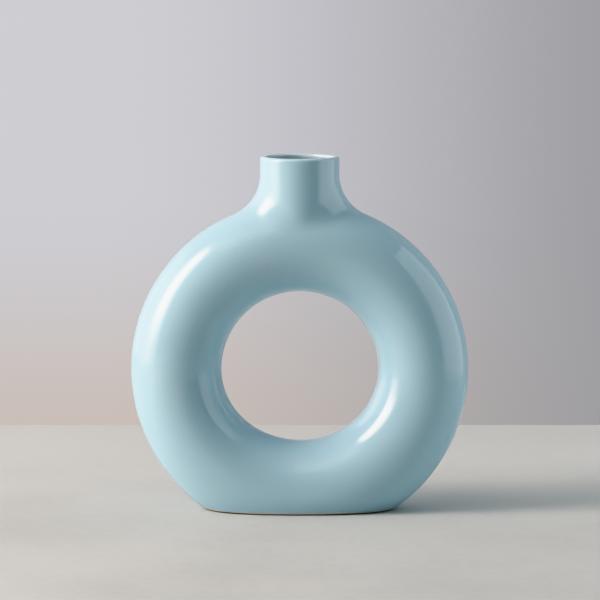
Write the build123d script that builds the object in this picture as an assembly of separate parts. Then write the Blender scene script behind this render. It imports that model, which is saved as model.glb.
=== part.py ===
from build123d import *
import math
import os

# Donut vase in stoneware. The ring stands on edge in the XZ plane and its hole runs along Y.
# Millimetres, +Z up, origin at the middle of the base, on the surface it stands on.

# Outside shape, measured over the glaze. The ring's centre line is a circle and its tube is round.
# Towards the base the tube swells and its centre line draws in. The base is cut above the ring's lowest point.
ring_radius = 73.5
tube_radius = 26.9
base_swell = 2.6
base_draw_in = 1.0
base_cut = 18.1

# The neck stands on the ring's crown, set in a little from the tube's front and back
neck_height = 26.4
neck_set_in = 3.4
neck_sweep_radius = 26.0

# Wall, from the outside in
glaze_thickness = 0.4
clay_thickness = 3.3
liner_thickness = 0.3
lip_outer_rounding_share = 0.42
lip_inner_rounding_share = 0.3

# Joints in the clay
slip_thickness = 0.5
neck_joint_rise = 4.4
foot_wall_height = 1.3

# Foot
floor_thickness = 4.5
recess_depth = 1.2
foot_ring_width = 6.0
foot_rounding = 0.9
bare_strip = 0.3

# How far a cut runs past what it cuts, and how many sections shape the lower half of the ring
overrun = 5.0
lower_sections = 12

ring_centre_height = ring_radius - base_draw_in + tube_radius + base_swell - base_cut
ring_crown_height = ring_centre_height + ring_radius + tube_radius
overall_height = ring_crown_height + neck_height
neck_radius = tube_radius - neck_set_in
wall = glaze_thickness + clay_thickness + liner_thickness
lip_outer_rounding = lip_outer_rounding_share * wall
lip_inner_rounding = lip_inner_rounding_share * wall
lip_crest_radius = neck_radius - wall / 2
neck_joint_height = ring_crown_height + neck_joint_rise
floor_height = recess_depth + floor_thickness
foot_joint_height = floor_height + foot_wall_height
glaze_line_height = foot_rounding + bare_strip

STANDING = (Align.CENTER, Align.CENTER, Align.MIN)


def above(shape, height):
    return split(shape, Plane.XY.offset(height), keep=Keep.TOP)


def below(shape, height):
    return split(shape, Plane.XY.offset(height), keep=Keep.BOTTOM)


def in_front_of(shape, depth):
    return split(shape, Plane.XZ.offset(-depth), keep=Keep.TOP)


def behind(shape, depth):
    return split(shape, Plane.XZ.offset(-depth), keep=Keep.BOTTOM)


def tube_section(angle, inset):
    """The tube's round section where it points along angle, 0 at +X and -90 degrees at the base.

    The tube swells, and its centre line draws in, steadily from the ring's middle to its base.
    """
    fall = math.sin(angle) ** 2
    outward = Vector(math.cos(angle), 0, math.sin(angle))
    along = Vector(-math.sin(angle), 0, math.cos(angle))
    middle = Vector(0, 0, ring_centre_height) + outward * (ring_radius - base_draw_in * fall)
    return Plane(middle, x_dir=outward, z_dir=along) * Circle(tube_radius + base_swell * fall - inset)


def ring_body(inset):
    upper = Pos(0, 0, ring_centre_height) * Rot(90, 0, 0) * Torus(ring_radius, tube_radius - inset)
    lower = loft([tube_section(-math.pi * step / lower_sections, inset) for step in range(lower_sections + 1)])
    return above(upper, ring_centre_height) + lower


def vessel(inset, top):
    """The vase's closed shape, drawn in by inset all round and swept up into the neck."""
    start = ring_centre_height + ring_radius
    neck_post = Pos(0, 0, start) * Cylinder(neck_radius - inset, top - start, align=STANDING)
    body = ring_body(inset) + neck_post
    plain = (GeomType.CIRCLE, GeomType.LINE)
    seam = [edge for edge in body.edges() if edge.geom_type not in plain and edge.center().Z > start]
    return fillet(seam, neck_sweep_radius + inset)


def outside(inset):
    """The vase as a closed block with its lip's outer edge rounded, drawn in by inset."""
    block = vessel(inset, overall_height - inset)
    rim = block.edges().filter_by(GeomType.CIRCLE).sort_by(Axis.Z)[-1]
    return fillet(rim, lip_outer_rounding - inset)


def hollow(inset, bottom):
    """The space inside, out through the mouth, drawn in by inset from the outside of the glaze."""
    return above(vessel(inset, overall_height + overrun), bottom)


glazed_block = outside(0)
clay_block = above(outside(glaze_thickness), 0)
clay_hollow = hollow(wall - liner_thickness, floor_height)
water_space = hollow(wall, floor_height + liner_thickness)
clay_shell = clay_block - clay_hollow


def layer(shape, bottom, top):
    """The level layer of a shape between two heights."""
    size = 2 * overall_height
    return shape & Pos(0, 0, bottom) * Box(size, size, top - bottom, align=STANDING)


def middle_slice(shape, thickness):
    """The upright slice of a shape that holds the XZ plane in its middle."""
    size = 2 * overall_height
    return shape & Box(size, thickness, 2 * size)


def rounded_mouth(shape, radius):
    """A piece of the lip with the inner edge of its top face rounded."""
    top_edges = shape.edges().filter_by(GeomType.CIRCLE).group_by(Axis.Z)[-1]
    return fillet(top_edges.sort_by(SortBy.RADIUS)[0], radius)


ring_shell = layer(clay_shell, foot_joint_height + slip_thickness / 2, neck_joint_height - slip_thickness / 2)
seam_slip = middle_slice(ring_shell, slip_thickness)
ring_core = Pos(0, 0, ring_centre_height) * Rot(90, 0, 0) * Cylinder(ring_radius, overall_height)


def ring_front():
    return in_front_of(ring_shell, -slip_thickness / 2)


def ring_back():
    return behind(ring_shell, slip_thickness / 2)


def neck():
    collar = above(clay_shell, neck_joint_height + slip_thickness / 2)
    return rounded_mouth(collar, lip_inner_rounding - liner_thickness)


def foot():
    """The base slab with its low wall, a rounded standing edge and a shallow recess beneath."""
    slab = below(clay_shell, foot_joint_height - slip_thickness / 2)
    slab = fillet(slab.edges().group_by(Axis.Z)[0], foot_rounding)
    recess_edge = section(ring_body(glaze_thickness + foot_ring_width), section_by=Plane.XY)
    return slab - extrude(recess_edge, recess_depth)


def inner_seam_slip():
    """The joint round the hole, on the ring's inner side."""
    return seam_slip & ring_core


def outer_seam_slip():
    """The joint round the outside, which the neck and the foot part into a left and a right run."""
    return seam_slip - ring_core


def neck_slip():
    return layer(clay_shell, neck_joint_height - slip_thickness / 2, neck_joint_height + slip_thickness / 2)


def foot_slip():
    return layer(clay_shell, foot_joint_height - slip_thickness / 2, foot_joint_height + slip_thickness / 2)


def lip_disc():
    """All that lies inside the lip's crest, from one wall's thickness below the top."""
    return Pos(0, 0, overall_height - wall) * Cylinder(lip_crest_radius, wall, align=STANDING)


def outer_glaze():
    """The coat outside, from the glaze line just above the table up to the lip's crest."""
    return above(glazed_block, glaze_line_height) - clay_block - lip_disc()


def liner_glaze():
    """The coat inside, over the floor, the hollow ring and the bore, up to the lip's crest."""
    coat = below(clay_hollow, overall_height - wall) - water_space
    lip = rounded_mouth(lip_disc() - water_space, lip_inner_rounding) - neck()
    return coat + lip


PIECES = {
    "ring_front": ring_front,
    "ring_back": ring_back,
    "neck": neck,
    "foot": foot,
    "inner_seam_slip": inner_seam_slip,
    "outer_seam_slip": outer_seam_slip,
    "neck_slip": neck_slip,
    "foot_slip": foot_slip,
    "outer_glaze": outer_glaze,
    "liner_glaze": liner_glaze,
}

os.makedirs("parts", exist_ok=True)
for name, make in PIECES.items():
    export_step(make(), f"parts/{name}.step")
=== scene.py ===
import math
from types import SimpleNamespace

import bpy
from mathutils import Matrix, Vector


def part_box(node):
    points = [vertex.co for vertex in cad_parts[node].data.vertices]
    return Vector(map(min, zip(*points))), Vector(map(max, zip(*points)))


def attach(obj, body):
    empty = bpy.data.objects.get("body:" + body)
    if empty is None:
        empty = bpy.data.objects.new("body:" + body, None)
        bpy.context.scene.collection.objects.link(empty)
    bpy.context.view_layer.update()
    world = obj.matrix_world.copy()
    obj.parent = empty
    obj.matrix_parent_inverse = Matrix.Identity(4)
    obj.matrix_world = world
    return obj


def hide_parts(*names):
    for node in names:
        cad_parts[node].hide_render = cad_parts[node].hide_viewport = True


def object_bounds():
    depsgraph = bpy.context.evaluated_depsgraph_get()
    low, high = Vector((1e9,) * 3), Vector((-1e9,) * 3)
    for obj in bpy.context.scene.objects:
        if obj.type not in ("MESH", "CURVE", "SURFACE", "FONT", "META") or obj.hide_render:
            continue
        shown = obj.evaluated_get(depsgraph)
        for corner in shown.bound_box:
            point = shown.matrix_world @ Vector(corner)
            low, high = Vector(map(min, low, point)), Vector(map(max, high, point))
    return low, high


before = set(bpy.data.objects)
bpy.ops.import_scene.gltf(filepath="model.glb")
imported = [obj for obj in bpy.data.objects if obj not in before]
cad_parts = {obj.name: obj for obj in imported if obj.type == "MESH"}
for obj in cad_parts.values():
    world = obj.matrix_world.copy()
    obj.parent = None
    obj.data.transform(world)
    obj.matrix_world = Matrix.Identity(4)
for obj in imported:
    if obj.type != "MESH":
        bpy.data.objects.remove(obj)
cad_low, cad_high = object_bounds()

MM = 0.001

# The vase's own sizes, over the glaze, in metres. Its width and height are the frame's.
TUBE_RADIUS = 26.9 * MM
RING_RADIUS = cad_high.x - TUBE_RADIUS
BASE_SWELL = 2.6 * MM
BASE_DRAW_IN = 1.0 * MM
NECK_SET_IN = 3.4 * MM
NECK_RADIUS = TUBE_RADIUS - NECK_SET_IN
NECK_SWEEP = 26.0 * MM
NECK_HEIGHT = 26.4 * MM
OVERALL_HEIGHT = cad_high.z
CENTRE_HEIGHT = OVERALL_HEIGHT - NECK_HEIGHT - TUBE_RADIUS - RING_RADIUS

# The wall, from the outside in, and the lip at its top
GLAZE_THICKNESS = 0.4 * MM
CLAY_THICKNESS = 3.3 * MM
LINER_THICKNESS = 0.3 * MM
WALL = GLAZE_THICKNESS + CLAY_THICKNESS + LINER_THICKNESS
LIP_CREST_RADIUS = NECK_RADIUS - WALL / 2
LIP_OUTER_ROUNDING = 0.42 * WALL
LIP_INNER_ROUNDING = 0.3 * WALL

# The glaze outside ends just above the table in a rounded edge, and the one inside covers the floor
GLAZE_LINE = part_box("outer_glaze")[0].z
GLAZE_EDGE = 0.5 * MM
LINER_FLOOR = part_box("liner_glaze")[0].z + LINER_THICKNESS


# Node trees

class Field:
    """A number that varies over a mesh or a surface, so that node trees are written as plain sums."""

    def __init__(self, tree, socket):
        self.tree = tree
        self.socket = socket

    def step(self, operation, *others):
        """One math node, which takes this number first and then the others."""
        node = self.tree.nodes.new("ShaderNodeMath")
        node.operation = operation
        for value, socket in zip((self, *others), node.inputs):
            if isinstance(value, Field):
                self.tree.links.new(value.socket, socket)
            else:
                socket.default_value = value
        return Field(self.tree, node.outputs[0])

    def __add__(self, other):
        return self.step("ADD", other)

    def __sub__(self, other):
        return self.step("SUBTRACT", other)

    def __rsub__(self, other):
        return -self + other

    def __mul__(self, other):
        return self.step("MULTIPLY", other)

    def __truediv__(self, other):
        return self.step("DIVIDE", other)

    def __neg__(self):
        return self.step("MULTIPLY", -1)

    __radd__ = __add__
    __rmul__ = __mul__

    def sin(self):
        return self.step("SINE")

    def cos(self):
        return self.step("COSINE")

    def arccos(self):
        return self.limited(-1, 1).step("ARCCOSINE")

    def root(self):
        return self.step("SQRT")

    def sign(self):
        return self.step("SIGN")

    def angle_to(self, other):
        return self.step("ARCTAN2", other)

    def limited(self, low, high):
        return self.step("MAXIMUM", low).step("MINIMUM", high)

    def over(self, level):
        """1 where the number is over the level, and 0 elsewhere."""
        return self.step("GREATER_THAN", level)


def between(start, end, share):
    return start + (end - start) * share


def choose(test, if_not, if_so):
    """One of two points of three numbers each, picked by a test of 0 or 1."""
    return [between(a, b, test) for a, b in zip(if_not, if_so)]


def edge_of(value, start, end):
    """0 up to start, 1 from end on, and an even soft change between."""
    share = ((value - start) / (end - start)).limited(0, 1)
    return share * share * (3 - 2 * share)


def fade_of(value, start, end):
    """1 up to start, 0 from end on, and an even soft change between."""
    return 1 - edge_of(value, start, end)


def band(value, low, high, soft):
    """1 between low and high, falling softly to 0 beyond both."""
    return edge_of(value, low - soft, low + soft) * fade_of(value, high - soft, high + soft)


def node_group(name, kind, given, results):
    """An empty node group with named inputs and outputs, and the sockets of its two end nodes."""
    tree = bpy.data.node_groups.new(name, kind)
    for label, socket in given.items():
        tree.interface.new_socket(label, in_out="INPUT", socket_type="NodeSocket" + socket)
    for label, socket in results.items():
        tree.interface.new_socket(label, in_out="OUTPUT", socket_type="NodeSocket" + socket)
    return tree, tree.nodes.new("NodeGroupInput").outputs, tree.nodes.new("NodeGroupOutput").inputs


def own_place(tree):
    """The piece's own coordinates, in metres."""
    return tree.nodes.new("ShaderNodeTexCoord").outputs["Object"]


def parts_of(tree, vector):
    """A vector's x, y and z."""
    node = tree.nodes.new("ShaderNodeSeparateXYZ")
    tree.links.new(vector, node.inputs[0])
    return [Field(tree, out) for out in node.outputs]


def noise_on(tree, here, cells, detail, seed=None):
    """Soft random patches from 0 to 1, so many to a metre."""
    node = tree.nodes.new("ShaderNodeTexNoise")
    node.noise_dimensions = "4D"
    node.inputs["Scale"].default_value = cells
    node.inputs["Detail"].default_value = detail
    tree.links.new(here, node.inputs["Vector"])
    if seed is not None:
        tree.links.new(seed, node.inputs["W"])
    return Field(tree, node.outputs[0])


def dots_on(tree, here, cells, core, size):
    """1 in round dots that lie at random, about one in each cell, full out to core and gone at size."""
    node = tree.nodes.new("ShaderNodeTexVoronoi")
    node.inputs["Scale"].default_value = cells
    tree.links.new(here, node.inputs["Vector"])
    return fade_of(Field(tree, node.outputs["Distance"]), core, size)


# A Mix node has sockets for every kind of value, and these are the ones for colours
FIRST_COLOUR = 6
SECOND_COLOUR = 7
MIXED_COLOUR = 2


def mixed(tree, share, first, second):
    """One colour turned into another. Each may be a plain colour or a socket."""
    node = tree.nodes.new("ShaderNodeMix")
    node.data_type = "RGBA"
    tree.links.new(share.socket, node.inputs["Factor"])
    for value, socket in ((first, node.inputs[FIRST_COLOUR]), (second, node.inputs[SECOND_COLOUR])):
        if isinstance(value, bpy.types.NodeSocket):
            tree.links.new(value, socket)
        else:
            socket.default_value = (*value, 1)
    return node.outputs[MIXED_COLOUR]


# Nets for the glaze coats

# How finely a net is drawn, in cells round the ring and round its tube
TURNS = 288
GIRTHS = 112

# Two windows are open in it, where the neck goes up and where the base is cut. Each has its middle, in cells
# round the ring, and its reach from there each way, in cells round the ring and round the tube.
NECK_WINDOW = (0, 23, 28)
BASE_WINDOW = (TURNS // 2, 36, 28)

# Each point of a net carries these numbers. turn and girth are angles round the ring, from its crown, and
# round its tube, from its outer side. climb goes 0 to 1 over the neck window, to 2 up the sweep, to 3 up the
# neck, to 4 round the lip's edge and to 5 over its crest. fall goes 0 to 1 over the base window and on to 2
# across the floor. around is the angle about the neck or the base, line the height of a level line round the
# base and depth how far it is drawn in.
NET_NUMBERS = ("turn", "girth", "climb", "fall", "around", "line", "depth")


def even_steps(start, end, count):
    """Numbers evenly spaced after start, up to end itself."""
    return [start + (end - start) * step / count for step in range(1, count + 1)]


def window_loop(window):
    """The net's places along a window's border, from its +X side round by +Y."""
    middle, half_turn, half_girth = window
    loop = [(half_turn, k) for k in range(half_girth)]
    loop += [(j, half_girth) for j in range(half_turn, -half_turn, -1)]
    loop += [(-half_turn, k) for k in range(half_girth, -half_girth, -1)]
    loop += [(j, -half_girth) for j in range(-half_turn, half_turn)]
    loop += [(half_turn, k) for k in range(-half_girth, 0)]
    # The turn grows towards +X at the crown and towards -X at the base
    side = -1 if window == BASE_WINDOW else 1
    return [(middle + side * j, k) for j, k in loop]


def coat_net(name, neck_rows, base_rows, lowest_line, capped):
    """A net of four-sided cells for one skin of glaze, closed across the base where it is capped.

    neck_rows gives climb for each row of cells in the neck window, and base_rows gives fall, line and depth
    for each in the base window.
    """
    points = []
    faces = []
    grid = {}
    half_girths = GIRTHS // 2

    def add(**values):
        values = {"line": lowest_line, **values}
        points.append([values.get(key, 0.0) for key in NET_NUMBERS])
        return len(points) - 1

    def add_at(j, k, **values):
        return add(turn=math.tau * j / TURNS, girth=math.tau * k / GIRTHS, **values)

    def cells_from(middle, j):
        return (j - middle + TURNS // 2) % TURNS - TURNS // 2

    def point_inside(j, k, window):
        middle, half_turn, half_girth = window
        return abs(cells_from(middle, j)) < half_turn and abs(k) < half_girth

    def cell_inside(j, k, window):
        middle, half_turn, half_girth = window
        return -half_turn <= cells_from(middle, j) < half_turn and -half_girth <= k < half_girth

    def point_at(j, k):
        return grid[j % TURNS, (k + half_girths) % GIRTHS - half_girths]

    places = [(j, k) for j in range(TURNS) for k in range(-half_girths, half_girths)]
    for j, k in places:
        if not point_inside(j, k, NECK_WINDOW) and not point_inside(j, k, BASE_WINDOW):
            grid[j, k] = add_at(j, k)
    for j, k in places:
        if not cell_inside(j, k, NECK_WINDOW) and not cell_inside(j, k, BASE_WINDOW):
            faces.append((point_at(j, k), point_at(j + 1, k), point_at(j + 1, k + 1), point_at(j, k + 1)))

    def fill(window, rows, flip):
        """Rows of cells from a window's border on. Gives the points of the last row."""
        loop = window_loop(window)
        last = [point_at(j, k) for j, k in loop]
        for row in rows:
            made = [add_at(j, k, around=math.tau * m / len(loop), **row) for m, (j, k) in enumerate(loop)]
            for m in range(len(loop)):
                n = (m + 1) % len(loop)
                face = (last[m], last[n], made[n], made[m])
                faces.append(face[::-1] if flip else face)
            last = made
        return last

    fill(NECK_WINDOW, [{"climb": climb} for climb in neck_rows], flip=False)
    last = fill(BASE_WINDOW, base_rows, flip=True)
    if capped:
        pole = add(turn=math.pi, fall=2.0)
        faces.extend((last[(m + 1) % len(last)], last[m], pole) for m in range(len(last)))

    mesh = bpy.data.meshes.new(name)
    mesh.from_pydata([point[:3] for point in points], [], faces)
    for index, key in enumerate(NET_NUMBERS):
        layer = mesh.attributes.new(key, "FLOAT", "POINT")
        layer.data.foreach_set("value", [point[index] for point in points])
    mesh.polygons.foreach_set("use_smooth", [True] * len(faces))
    net = bpy.data.objects.new(name, mesh)
    bpy.context.scene.collection.objects.link(net)
    return net


# The rule that lays a net over the vase

# Short words for the rule's sizes. In its functions, size holds these and at holds what a point carries.
RULE_SIZES = {
    "ring": "Ring Radius",
    "tube": "Tube Radius",
    "swell": "Base Swell",
    "draw_in": "Base Draw In",
    "centre": "Centre Height",
    "neck": "Neck Radius",
    "sweep": "Neck Sweep",
    "top": "Overall Height",
    "crest": "Lip Crest Radius",
    "rounding": "Lip Rounding",
    "side": "Lip Side",
    "inset": "Inset",
    "waver": "Waver",
}

# How often the level line's trial is repeated
LINE_TRIALS = 5

# A hand's slight waver: its patches to a metre, the climb from which it dies away and the fall where it ends
WAVER_CELLS = 14
WAVER_FADES = 2.8
WAVER_ENDS = 0.99


def rolling_ball(size, at):
    """The ball that rolls between neck and tube: its middle, where it touches the tube, and the way there."""
    x = (size.neck + size.sweep) * at.around.cos()
    y = (size.neck + size.sweep) * at.around.sin()
    reach = size.tube + size.sweep
    out = (reach * reach - y * y).root()
    arm = size.ring + out
    z = (arm * arm - x * x).root()
    way = [-(x * out / arm) / reach, -y / reach, -(z * out / arm) / reach]
    return SimpleNamespace(x=x, y=y, z=z, turn=x.angle_to(z), girth=y.angle_to(out), way=way)


def level_line(size, at):
    """The level line round the base: how far it swings from the ring's lowest place, and its girth there."""
    drop = size.centre - at.line
    outer_radius = size.ring + size.tube
    widest = drop / outer_radius
    for _ in range(LINE_TRIALS):
        widest = drop / (outer_radius - size.inset + (size.swell - size.draw_in) * widest * widest)
    swing = widest.arccos() * at.around.cos()
    low = swing.cos() * swing.cos()
    core_radius = size.ring - size.draw_in * low
    tube = size.tube + size.swell * low - size.inset
    girth = ((drop / swing.cos() - core_radius) / tube).arccos()
    return swing, girth * at.around.sin().sign()


def on_ring(size, at, ball):
    """A point of the ring, with one window drawn in to the ball's touch and the other to the level line."""
    swing, line_girth = level_line(size, at)
    to_neck = at.climb.limited(0, 1)
    to_base = at.fall.limited(0, 1)
    signed_turn = at.turn - at.climb.over(0) * at.turn.over(math.pi) * math.tau
    turn = between(between(signed_turn, ball.turn, to_neck), math.pi - swing, to_base)
    girth = between(between(at.girth, ball.girth, to_neck), line_girth, to_base)
    down = (-turn.cos()).limited(0, 1)
    low = down * down
    tube = size.tube + size.swell * low - size.inset
    out = size.ring - size.draw_in * low + tube * girth.cos()
    shrink = 1 - (at.fall - 1).limited(0, 1)
    return [out * turn.sin() * shrink, tube * girth.sin() * shrink, size.centre + out * turn.cos()]


def on_sweep(size, at, ball):
    """A point of the sweep, turned about the ball's middle from the tube round to the neck."""
    turned = (at.climb - 1).limited(0, 1)
    neck_way = [-at.around.cos(), -at.around.sin(), 0.0]
    opening = (ball.way[0] * neck_way[0] + ball.way[1] * neck_way[1]).arccos()
    tube_share = ((1 - turned) * opening).sin() / opening.sin()
    neck_share = (turned * opening).sin() / opening.sin()
    middle = [ball.x, ball.y, size.centre + ball.z]
    reach = size.sweep + size.inset
    return [m + reach * (t * tube_share + n * neck_share) for m, t, n in zip(middle, ball.way, neck_way)]


def on_collar(size, at, ball):
    """A point of the neck, of the lip's rounded edge or of its crest."""
    edge = (at.climb - 3).limited(0, 1) * (math.pi / 2)
    lip_middle = size.neck - size.inset - size.side * size.rounding
    over_crest = (at.climb - 4).limited(0, 1) * (size.crest - lip_middle)
    across = lip_middle + size.side * size.rounding * edge.cos() + over_crest
    up_neck = (at.climb - 2).limited(0, 1)
    height = between(size.centre + ball.z, size.top - size.rounding, up_neck) + size.rounding * edge.sin()
    return [across * at.around.cos(), across * at.around.sin(), height]


def hand_waver(tree, size, at, seed):
    """How far a point moves along its normal: always inwards, and nothing at the lip and the glaze line."""
    here = tree.nodes.new("GeometryNodeInputPosition").outputs[0]
    push = -(noise_on(tree, here, WAVER_CELLS, detail=1, seed=seed) * size.waver)
    at_lip = ((at.climb - WAVER_FADES) / (3 - WAVER_FADES)).limited(0, 1)
    at_line = at.fall.over(WAVER_ENDS)
    return push * (1 - at_lip) * (1 - at_line)


def carried(tree, key):
    """A number that the net's points carry."""
    node = tree.nodes.new("GeometryNodeInputNamedAttribute")
    node.data_type = "FLOAT"
    node.inputs["Name"].default_value = key
    return Field(tree, node.outputs["Attribute"])


def coat_rule():
    """The tree that lays a net over the vase, drawn in by Inset, and gives it its glaze."""
    sizes = dict.fromkeys(RULE_SIZES.values(), "Float")
    tree, given, results = node_group(
        "vase_coat", "GeometryNodeTree",
        given={"Net": "Geometry", **sizes, "Seed": "Int", "Glaze": "Material"},
        results={"Coat": "Geometry"},
    )
    size = SimpleNamespace(**{word: Field(tree, given[label]) for word, label in RULE_SIZES.items()})
    at = SimpleNamespace(**{key: carried(tree, key) for key in NET_NUMBERS})
    size.inset = size.inset + at.depth
    ball = rolling_ball(size, at)
    below_neck = choose(at.climb.over(1), on_ring(size, at, ball), on_sweep(size, at, ball))
    place = choose(at.climb.over(2), below_neck, on_collar(size, at, ball))
    point = tree.nodes.new("ShaderNodeCombineXYZ")
    for field, socket in zip(place, point.inputs):
        tree.links.new(field.socket, socket)
    lay = tree.nodes.new("GeometryNodeSetPosition")
    tree.links.new(given["Net"], lay.inputs["Geometry"])
    tree.links.new(point.outputs[0], lay.inputs["Position"])

    push = tree.nodes.new("ShaderNodeVectorMath")
    push.operation = "SCALE"
    tree.links.new(tree.nodes.new("GeometryNodeInputNormal").outputs[0], push.inputs[0])
    tree.links.new(hand_waver(tree, size, at, given["Seed"]).socket, push.inputs["Scale"])
    settle = tree.nodes.new("GeometryNodeSetPosition")
    tree.links.new(lay.outputs[0], settle.inputs["Geometry"])
    tree.links.new(push.outputs[0], settle.inputs["Offset"])

    realize = tree.nodes.new("GeometryNodeRealizeInstances")
    tree.links.new(settle.outputs[0], realize.inputs[0])
    finish = tree.nodes.new("GeometryNodeSetMaterial")
    tree.links.new(realize.outputs[0], finish.inputs["Geometry"])
    tree.links.new(given["Glaze"], finish.inputs["Material"])
    tree.links.new(finish.outputs[0], results["Coat"])
    return tree


def lay_over_vase(net, rule, values):
    """Lays a net over the vase and keeps it as a plain mesh, without the numbers that it carried."""
    coat = net.modifiers.new("coat", "NODES")
    coat.node_group = rule
    for item in rule.interface.items_tree:
        if item.item_type == "SOCKET" and item.in_out == "INPUT" and item.name in values:
            coat[item.identifier] = values[item.name]
    view = bpy.context.evaluated_depsgraph_get()
    laid = net.evaluated_get(view)
    mesh = bpy.data.meshes.new_from_object(laid, preserve_all_data_layers=True, depsgraph=view)
    net.modifiers.remove(coat)
    for key in NET_NUMBERS:
        mesh.attributes.remove(mesh.attributes[key])
    plain_net = net.data
    net.data = mesh
    bpy.data.meshes.remove(plain_net)
    mesh.name = net.name


def sharp_border(mesh):
    """Marks the edges where a skin ends, so that its shading doesn't run round its cut edge."""
    uses = [0] * len(mesh.edges)
    for loop in mesh.loops:
        uses[loop.edge_index] += 1
    layer = mesh.attributes.new("sharp_edge", "BOOLEAN", "EDGE")
    layer.data.foreach_set("value", [count == 1 for count in uses])


def thicken(piece, thickness):
    """Gives a skin its thickness, on the side away from its normals."""
    body = piece.modifiers.new("thickness", "SOLIDIFY")
    body.thickness = thickness
    body.offset = -1
    body.use_even_offset = True


# Glaze and clay

GLAZE_IOR = 1.55
CLAY_IOR = 1.5

# Patches of each pattern in the glaze, to a metre
CLOUD_CELLS = 18
DRIFT_CELLS = 55
RIPPLE_CELLS = 38

# How unevenly the thin glaze ends at the lip and at its line, and the heights over the line between which the
# thin glaze turns full and the pooled glaze ends
LIP_DRIFT = 1.2 * MM
LINE_DRIFT = 0.5 * MM
THIN_HEIGHTS = (0.1 * MM, 0.9 * MM)
POOLED_HEIGHTS = (1.0 * MM, 9.0 * MM)

# How much of each tone shows where it shows most. Where the glaze pools, that goes by its clouds.
POOLED_SHARES = (0.3, 0.7)
CLOUD_SHARE = 0.10
THIN_LIP_SHARE = 0.55
THIN_LINE_SHARE = 0.6

# Roughness of full glaze, and what the drift and the thin glaze at the line add to it
GLAZE_ROUGHNESS = 0.03
DRIFT_ROUGHNESS = 0.02
THIN_ROUGHNESS = 0.15

# Patches and dots of each pattern in the clay, to a metre, and the dots' reach as a share of their cells
GRAIN_CELLS = 1400
FIRE_CELLS = 30
SPECK_CELLS = 420
SPECK_CORE = 0.12
SPECK_SIZE = 0.2

# Painted contact shadow sits on the rounded standing edge, between these heights, and ends unevenly
CONTACT_SHADOW_STARTS = (0.02 * MM, 0.1 * MM)
CONTACT_SHADOW_ENDS = (0.6 * MM, 0.9 * MM)
CONTACT_SHADOW_DRIFT = 0.2 * MM

# How much of each tone shows where it shows most, the clay's roughness and what the grain adds to it
FIRE_SHARE = 0.5
GRAIN_SHARE = 0.25
SPECK_SHARE = 0.6
CONTACT_SHADOW_SHARE = 0.92
CLAY_ROUGHNESS = 0.78
GRAIN_ROUGHNESS = 0.16

# The noise levels between which a soft patch of the glaze or of the clay comes up
PATCH = (0.35, 0.75)

OUTER_TONES = {
    "Full Tone": (0.385, 0.63, 0.745),
    "Thin Tone": (0.57, 0.74, 0.80),
    "Pooled Tone": (0.31, 0.55, 0.67),
}
# The liner's pale Thin Tone near the lip is partly the glaze thinning there and partly painted light, where
# light falls into the mouth
LINER_TONES = {
    "Full Tone": (0.31, 0.55, 0.63),
    "Thin Tone": (0.74, 0.84, 0.87),
    "Pooled Tone": (0.27, 0.50, 0.59),
}
# A near-black clay tone, painted as the shadow where the standing edge meets the table
CONTACT_SHADOW_TONE = (0.035, 0.03, 0.025)
CLAY_TONES = {
    "Body Tone": (0.68, 0.63, 0.55),
    "Fire Tone": (0.59, 0.52, 0.43),
    "Speck Tone": (0.25, 0.20, 0.15),
    "Contact Shadow Tone": CONTACT_SHADOW_TONE,
}
SLIP_TONES = {
    "Body Tone": (0.72, 0.67, 0.59),
    "Fire Tone": (0.63, 0.56, 0.47),
    "Speck Tone": (0.30, 0.24, 0.18),
    "Contact Shadow Tone": CONTACT_SHADOW_TONE,
}


def glaze_effect():
    """Glaze that thins and pales at the lip and at its lower edge, pools above it, and clouds a little."""
    tree, given, results = node_group(
        "glaze_depth", "ShaderNodeTree",
        given={**dict.fromkeys(OUTER_TONES, "Color"),
               "Lip Height": "Float", "Lip Reach": "Float", "Line Height": "Float", "Seed": "Float"},
        results={"Tone": "Color", "Roughness": "Float", "Ripple": "Float"},
    )
    here = own_place(tree)
    _, _, z = parts_of(tree, here)
    cloud = noise_on(tree, here, CLOUD_CELLS, detail=3, seed=given["Seed"])
    drift = noise_on(tree, here, DRIFT_CELLS, detail=2, seed=given["Seed"])
    ripple = noise_on(tree, here, RIPPLE_CELLS, detail=1, seed=given["Seed"])
    uneven = drift - 0.5

    # The glaze begins to thin at Lip Reach below the lip
    over_lip = z - Field(tree, given["Lip Height"]) + uneven * LIP_DRIFT
    thin_lip = edge_of(over_lip / Field(tree, given["Lip Reach"]), -1.0, 0.1)
    over_line = z - Field(tree, given["Line Height"])
    thin_line = fade_of(over_line + uneven * LINE_DRIFT, *THIN_HEIGHTS)
    pooled = fade_of(over_line, *POOLED_HEIGHTS) * between(*POOLED_SHARES, cloud)

    tone = mixed(tree, pooled, given["Full Tone"], given["Pooled Tone"])
    tone = mixed(tree, edge_of(cloud, *PATCH) * CLOUD_SHARE, tone, given["Pooled Tone"])
    tone = mixed(tree, thin_lip * THIN_LIP_SHARE + thin_line * THIN_LINE_SHARE, tone, given["Thin Tone"])
    tree.links.new(tone, results["Tone"])
    roughness = GLAZE_ROUGHNESS + drift * DRIFT_ROUGHNESS + thin_line * THIN_ROUGHNESS
    tree.links.new(roughness.socket, results["Roughness"])
    tree.links.new((ripple + drift * 0.3).socket, results["Ripple"])
    return tree


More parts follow.
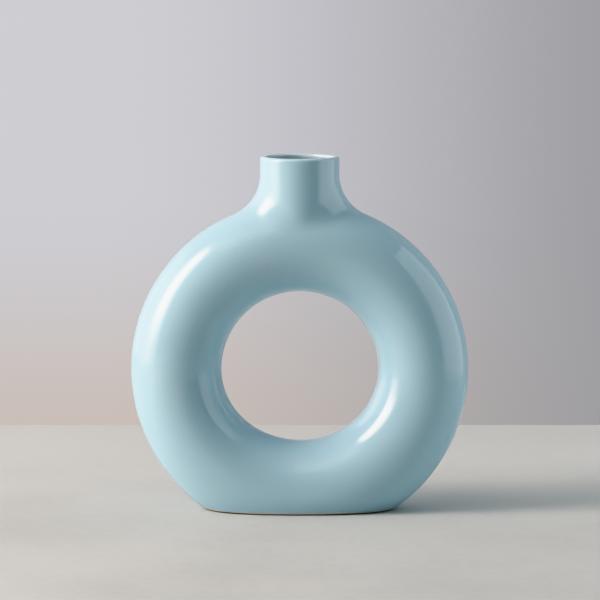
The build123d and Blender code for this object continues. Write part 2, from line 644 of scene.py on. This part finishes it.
def clay_effect():
    """Fired clay: a fine sandy grain, a few darker specks, soft fire marks and painted contact shadow on its
    standing edge.
    """
    tree, given, results = node_group(
        "fired_clay", "ShaderNodeTree",
        given={**dict.fromkeys(CLAY_TONES, "Color"), "Seed": "Float"},
        results={"Tone": "Color", "Roughness": "Float", "Grain": "Float"},
    )
    here = own_place(tree)
    _, _, z = parts_of(tree, here)
    grain = noise_on(tree, here, GRAIN_CELLS, detail=4, seed=given["Seed"])
    marks = noise_on(tree, here, FIRE_CELLS, detail=3, seed=given["Seed"])
    specks = dots_on(tree, here, SPECK_CELLS, SPECK_CORE, SPECK_SIZE)
    # Painted contact shadow: the clay turns near black on the rounded standing edge, just above the table
    contact_shadow = edge_of(z, *CONTACT_SHADOW_STARTS) * fade_of(z + marks * CONTACT_SHADOW_DRIFT, *CONTACT_SHADOW_ENDS)

    tone = mixed(tree, edge_of(marks, *PATCH) * FIRE_SHARE, given["Body Tone"], given["Fire Tone"])
    tone = mixed(tree, edge_of(grain, 0.3, 0.8) * GRAIN_SHARE, tone, given["Fire Tone"])
    tone = mixed(tree, specks * edge_of(grain, 0.4, 0.6) * SPECK_SHARE, tone, given["Speck Tone"])
    tone = mixed(tree, contact_shadow * CONTACT_SHADOW_SHARE, tone, given["Contact Shadow Tone"])
    tree.links.new(tone, results["Tone"])
    tree.links.new((CLAY_ROUGHNESS + grain * GRAIN_ROUGHNESS).socket, results["Roughness"])
    tree.links.new((grain - specks * 0.4).socket, results["Grain"])
    return tree


def surface(name, group, values, ior, height_from, bump, strength):
    """A material whose tone, roughness and relief come from one effect."""
    material = bpy.data.materials.new(name)
    material.use_nodes = True
    tree = material.node_tree
    shader = tree.nodes["Principled BSDF"]
    shader.inputs["IOR"].default_value = ior
    look = tree.nodes.new("ShaderNodeGroup")
    look.node_tree = group
    for label, value in values.items():
        look.inputs[label].default_value = (*value, 1) if isinstance(value, tuple) else value
    tree.links.new(look.outputs["Tone"], shader.inputs["Base Color"])
    tree.links.new(look.outputs["Roughness"], shader.inputs["Roughness"])
    relief = tree.nodes.new("ShaderNodeBump")
    relief.inputs["Distance"].default_value = bump
    relief.inputs["Strength"].default_value = strength
    tree.links.new(look.outputs[height_from], relief.inputs["Height"])
    tree.links.new(relief.outputs[0], shader.inputs["Normal"])
    return material


glaze_depth = glaze_effect()
fired_clay = clay_effect()


def glazed(name, tones, lip_reach, line_height, seed):
    """Glossy glaze, thin over lip_reach below the lip and just above line_height."""
    places = {"Lip Height": OVERALL_HEIGHT, "Lip Reach": lip_reach, "Line Height": line_height}
    values = {**tones, **places, "Seed": seed}
    return surface(name, glaze_depth, values, GLAZE_IOR, "Ripple", bump=0.04 * MM, strength=0.35)


def unglazed(name, tones, bump, strength, seed):
    """Matte fired clay."""
    return surface(name, fired_clay, {**tones, "Seed": seed}, CLAY_IOR, "Grain", bump, strength)


outer_finish = glazed("blue_glaze", OUTER_TONES, lip_reach=1.8 * MM, line_height=GLAZE_LINE, seed=2.0)
# The liner's thin tone reaches far down the inside, partly as painted light in the mouth
liner_finish = glazed("blue_liner_glaze", LINER_TONES, lip_reach=4 * MM, line_height=LINER_FLOOR, seed=7.0)
clay_finish = unglazed("bare_clay", CLAY_TONES, bump=0.05 * MM, strength=0.6, seed=1.0)
slip_finish = unglazed("clay_slip", SLIP_TONES, bump=0.03 * MM, strength=0.5, seed=4.0)


# The two coats

# Rows of cells over the neck window, up the sweep, up the neck, round the lip's edge and over its crest
NECK_ROWS = even_steps(0, 1, 8) + even_steps(1, 2, 14) + even_steps(2, 3, 16) + even_steps(3, 4, 8) + [5.0]

# Rows of cells over the base window, round the outer coat's lower edge and across the liner's floor
BASE_ROWS = even_steps(0, 1, 8)
EDGE_ROWS = 6
FLOOR_ROWS = 12

VASE_SIZES = {
    "Ring Radius": RING_RADIUS,
    "Tube Radius": TUBE_RADIUS,
    "Base Swell": BASE_SWELL,
    "Base Draw In": BASE_DRAW_IN,
    "Centre Height": CENTRE_HEIGHT,
    "Neck Radius": NECK_RADIUS,
    "Neck Sweep": NECK_SWEEP,
    "Overall Height": OVERALL_HEIGHT,
    "Lip Crest Radius": LIP_CREST_RADIUS,
}
vase_coat = coat_rule()

edge_line = GLAZE_LINE + GLAZE_EDGE
outer_rows = [{"fall": fall, "line": edge_line} for fall in BASE_ROWS]
for angle in even_steps(0, math.pi / 2, EDGE_ROWS):
    outer_rows.append({
        "fall": 1.0,
        "line": edge_line - GLAZE_EDGE * math.sin(angle),
        "depth": GLAZE_THICKNESS * (1 - math.cos(angle)),
    })
outer_coat = coat_net("outer_coat", NECK_ROWS, outer_rows, edge_line, capped=False)
lay_over_vase(outer_coat, vase_coat, {
    **VASE_SIZES,
    "Lip Rounding": LIP_OUTER_ROUNDING,
    "Lip Side": 1.0,
    "Inset": 0.0,
    "Waver": 0.06 * MM,
    "Seed": 3,
    "Glaze": outer_finish,
})
sharp_border(outer_coat.data)
thicken(outer_coat, GLAZE_THICKNESS)

# The pole closes the floor, so it takes the last row's place. The liner's faces look into the hollow.
floor_falls = BASE_ROWS + even_steps(1, 2, FLOOR_ROWS)[:-1]
floor_rows = [{"fall": fall, "line": LINER_FLOOR} for fall in floor_falls]
liner_coat = coat_net("liner_coat", NECK_ROWS, floor_rows, LINER_FLOOR, capped=True)
lay_over_vase(liner_coat, vase_coat, {
    **VASE_SIZES,
    "Lip Rounding": LIP_INNER_ROUNDING,
    "Lip Side": -1.0,
    "Inset": WALL,
    "Waver": 0.0,
    "Seed": 5,
    "Glaze": liner_finish,
})
liner_coat.data.flip_normals()
sharp_border(liner_coat.data)
thicken(liner_coat, LINER_THICKNESS)

for piece, node in ((outer_coat, "outer_glaze"), (liner_coat, "liner_glaze")):
    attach(piece, "root")
    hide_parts(node)

# The clay and the slip in its joints are the frame's own pieces
for name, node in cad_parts.items():
    node.data.materials.clear()
    node.data.materials.append(slip_finish if name.endswith("slip") else clay_finish)


# Lights, table, room and camera, in metres

def sheet(name, corners, material, seen):
    """A flat four-cornered sheet of the studio."""
    mesh = bpy.data.meshes.new(name)
    mesh.from_pydata(corners, [], [(0, 1, 2, 3)])
    mesh.materials.append(material)
    piece = bpy.data.objects.new(name, mesh)
    bpy.context.scene.collection.objects.link(piece)
    piece.visible_camera = seen


def upright_sheet(name, start, end, low, high, material):
    """A sheet of light that stands over the line from start to end, out of the camera's sight."""
    corners = [(*start, low), (*end, low), (*end, high), (*start, high)]
    sheet(name, corners, material, seen=False)


def level_sheet(name, x_range, y_range, height, material, seen):
    """A level sheet over a range of x and a range of y."""
    (left, right), (near, far) = x_range, y_range
    corners = [(left, near, height), (right, near, height), (right, far, height), (left, far, height)]
    sheet(name, corners, material, seen)


def glow(name, colour, strength=1.0):
    """A material that gives off light, evenly all over."""
    material = bpy.data.materials.new(name)
    material.use_nodes = True
    tree = material.node_tree
    tree.nodes.clear()
    light = tree.nodes.new("ShaderNodeEmission")
    light.inputs["Color"].default_value = (*colour, 1)
    light.inputs["Strength"].default_value = strength
    tree.links.new(light.outputs[0], tree.nodes.new("ShaderNodeOutputMaterial").inputs[0])
    return material


WINDOW_X = -1.5
WINDOW_REACH = 1.7
WINDOW_TOP = 2.3
PANE = 12.8
PANE_FOOT = 0.22
SPREAD = 2.6
FAR_END = 1.8


def window():
    """A tall sheet on the left with a bright pane, a wide fainter spread round it and a fainter far end."""
    light = glow("window_light", colour=(1.28, 1.0, 0.90))
    tree = light.node_tree
    _, y, z = parts_of(tree, own_place(tree))
    pane = PANE * band(y, low=-0.82, high=-0.1, soft=0.28) * fade_of(z, 1.5, 2.1)
    pane = pane * between(PANE_FOOT, 1, edge_of(z, 0.1, 0.62))
    spread = SPREAD * band(y, low=-0.45, high=0.6, soft=0.25) * fade_of(z, 0.8, 1.6)
    far_end = FAR_END * edge_of(y, 0.5, 0.9) * fade_of(z, 1.0, 1.6)
    tree.links.new((pane + spread + far_end).socket, tree.nodes["Emission"].inputs["Strength"])
    near_foot = (WINDOW_X, -WINDOW_REACH)
    far_foot = (WINDOW_X, WINDOW_REACH)
    upright_sheet("window_sheet", near_foot, far_foot, 0, WINDOW_TOP, light)


STRIP = Vector((-0.876, 0.685))
STRIP_HALF_WIDTH = 0.08
STRIP_BOTTOM = 0.29
STRIP_TOP = 0.9


def strip():
    """A narrow sheet on the left and behind the vase, which it faces."""
    light = glow("strip_light", colour=(1.0, 0.98, 0.96), strength=2.5)
    sideways = STRIP.orthogonal().normalized() * STRIP_HALF_WIDTH
    upright_sheet("strip_sheet", STRIP - sideways, STRIP + sideways, STRIP_BOTTOM, STRIP_TOP, light)


CARD_X = 0.6
CARD_NEAR = -0.4
CARD_FAR = 0.31
CARD_TOP = 0.72


def card():
    """A card on the right, whose straight edges mirror in the neck and the ring."""
    light = glow("card_light", colour=(1.04, 0.98, 0.95), strength=1.4)
    upright_sheet("card_sheet", (CARD_X, CARD_NEAR), (CARD_X, CARD_FAR), 0, CARD_TOP, light)


OVERHEAD_X = (-1.4, 0.1)
OVERHEAD_Y = (-1.7, -0.5)
OVERHEAD_HEIGHT = 1.8


def overhead():
    """A soft sheet overhead, on the left and nearer the camera than the vase."""
    light = glow("overhead_light", colour=(1.0, 0.98, 0.98), strength=1.4)
    level_sheet("overhead_sheet", OVERHEAD_X, OVERHEAD_Y, OVERHEAD_HEIGHT, light, seen=False)


TABLE_X = (-3, 3)
TABLE_Y = (-3, 0.33)
TABLE_HEIGHT = -0.05 * MM
TABLE_TONE = (0.51, 0.57, 0.57)
MOTTLED_TONE = (0.45, 0.51, 0.51)
# The tone painted as shade near the camera, and the tone painted as light behind the vase
NEAR_PAINTED_SHADE_TONE = (0.16, 0.16, 0.16)
FAR_PAINTED_LIGHT_TONE = (0.57, 0.63, 0.63)
TABLE_ROUGHNESS = 0.7


def table():
    """A pale table, a little mottled, with painted shade near the camera and painted light behind the vase.
    It ends behind the vase and lies a hair below its foot.
    """
    material = bpy.data.materials.new("pale_table")
    material.use_nodes = True
    tree = material.node_tree
    here = own_place(tree)
    x, y, _ = parts_of(tree, here)
    mottle = noise_on(tree, here, cells=9, detail=4) * 0.7 + noise_on(tree, here, cells=140, detail=3) * 0.3
    tone = mixed(tree, edge_of(mottle, 0.35, 0.7), TABLE_TONE, MOTTLED_TONE)
    # Painted shade: the table turns near black near the camera, from a little left of the vase rightwards
    tone = mixed(tree, fade_of(y, -1.4, -0.5) * edge_of(x, -0.6, -0.35), tone, NEAR_PAINTED_SHADE_TONE)
    # Painted light: the table turns paler behind the vase
    tone = mixed(tree, edge_of(y, -0.1, 0.3) * 0.8, tone, FAR_PAINTED_LIGHT_TONE)
    shader = tree.nodes["Principled BSDF"]
    tree.links.new(tone, shader.inputs["Base Color"])
    shader.inputs["Roughness"].default_value = TABLE_ROUGHNESS
    level_sheet("table", TABLE_X, TABLE_Y, TABLE_HEIGHT, material, seen=True)


WALL_TONE = (0.65, 0.65, 0.69)
LOW_WALL_TONE = (0.62, 0.54, 0.49)
RIGHT_WALL_TONE = (0.36, 0.36, 0.38)
FRONT_TONE = (0.015, 0.015, 0.015)
CEILING_TONE = (0.25, 0.30, 0.32)


def room():
    """The air round the studio, by direction: a wall behind, a dim front and a plain ceiling.

    The wall is warmer low down and darker on the right.
    """
    air = bpy.data.worlds.new("studio_air")
    air.use_nodes = True
    tree = air.node_tree
    x, y, z = parts_of(tree, tree.nodes.new("ShaderNodeTexCoord").outputs["Generated"])
    tone = mixed(tree, fade_of(z, -0.17, -0.08), WALL_TONE, LOW_WALL_TONE)
    tone = mixed(tree, edge_of(x, -0.06, 0.12), tone, RIGHT_WALL_TONE)
    tone = mixed(tree, edge_of(y, -0.1, 0.5), FRONT_TONE, tone)
    tone = mixed(tree, edge_of(z, 0.68, 0.85), tone, CEILING_TONE)
    tree.links.new(tone, tree.nodes["Background"].inputs["Color"])
    bpy.context.scene.world = air
    bpy.context.scene.view_settings.view_transform = "Khronos PBR Neutral"


# The photograph's width and the camera's focal length in its pixels, the camera's place and its downward tilt
PHOTO_WIDTH = 600
FOCAL_PIXELS = 3550
SENSOR_WIDTH = 36.0
CAMERA_PLACE = (0.14 * MM, -2096 * MM, 368.4 * MM)
CAMERA_TILT = math.radians(6.62)


def camera():
    """The camera, where the photograph's stood."""
    lens = bpy.data.cameras.new("camera")
    lens.sensor_width = SENSOR_WIDTH
    lens.lens = SENSOR_WIDTH * FOCAL_PIXELS / PHOTO_WIDTH
    stand = bpy.data.objects.new("camera", lens)
    bpy.context.scene.collection.objects.link(stand)
    stand.location = CAMERA_PLACE
    stand.rotation_euler = (math.radians(90) - CAMERA_TILT, 0, 0)
    bpy.context.scene.camera = stand


window()
strip()
card()
overhead()
table()
room()
camera()
